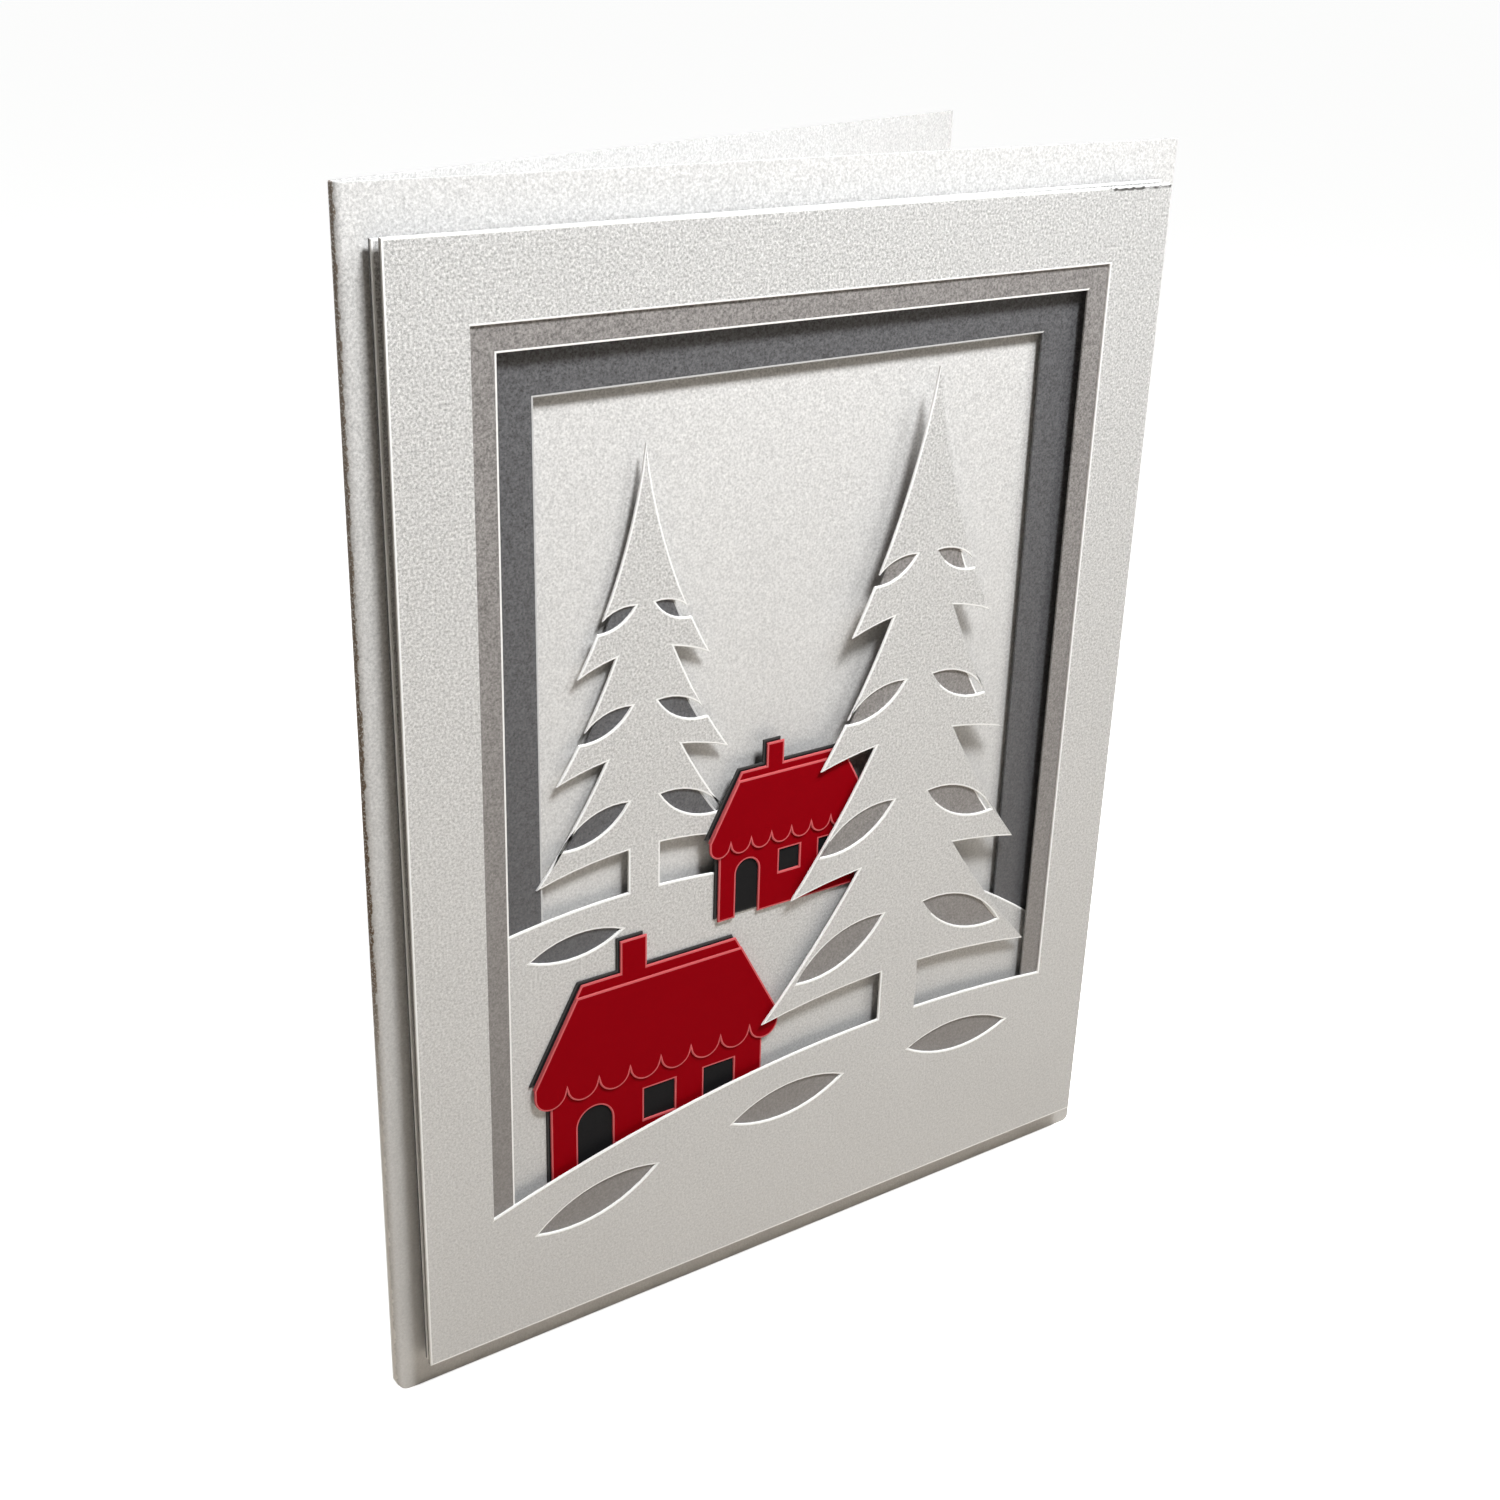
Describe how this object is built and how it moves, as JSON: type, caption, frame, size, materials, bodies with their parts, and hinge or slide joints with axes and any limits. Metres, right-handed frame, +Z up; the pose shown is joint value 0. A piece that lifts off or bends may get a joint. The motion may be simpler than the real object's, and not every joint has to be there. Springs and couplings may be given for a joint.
{
  "type": "greeting card",
  "caption": "Standing folded greeting card with a raised stack of cut paper frames on its front leaf, around a layered winter scene of hills, firs and red cottages.",
  "frame": {"origin": "middle of the footprint's box, on the surface that the card stands on", "axes": "+Z up along the fold, -Y out of the front leaf, +X from the fold towards the free edges"},
  "size_m": [0.108, 0.0384, 0.1397],
  "materials": {
    "card_stock": "matte",
    "pearl": "satin",
    "warm_grey": "matte",
    "dark_grey": "matte",
    "red": "satin",
    "black": "matte",
    "foam": "matte"
  },
  "bodies": {
    "root": {"folded_card": "card_stock", "dark_mat": "dark_grey", "inner_panel": "pearl", "warm_mat": "warm_grey", "front_panel": "pearl", "rear_foam_left": "foam", "rear_foam_right": "foam", "rear_foam_top": "foam", "rear_foam_bottom": "foam", "rear_foam_pad": "foam", "front_foam_left": "foam", "front_foam_right": "foam", "front_foam_top": "foam", "front_foam_bottom": "foam", "front_foam_pad": "foam", "large_cottage_underlay": "black", "large_cottage_walls": "red", "large_cottage_roof": "red", "small_cottage_underlay": "black", "small_cottage_walls": "red", "small_cottage_roof": "red"}
  },
  "joints": []
}
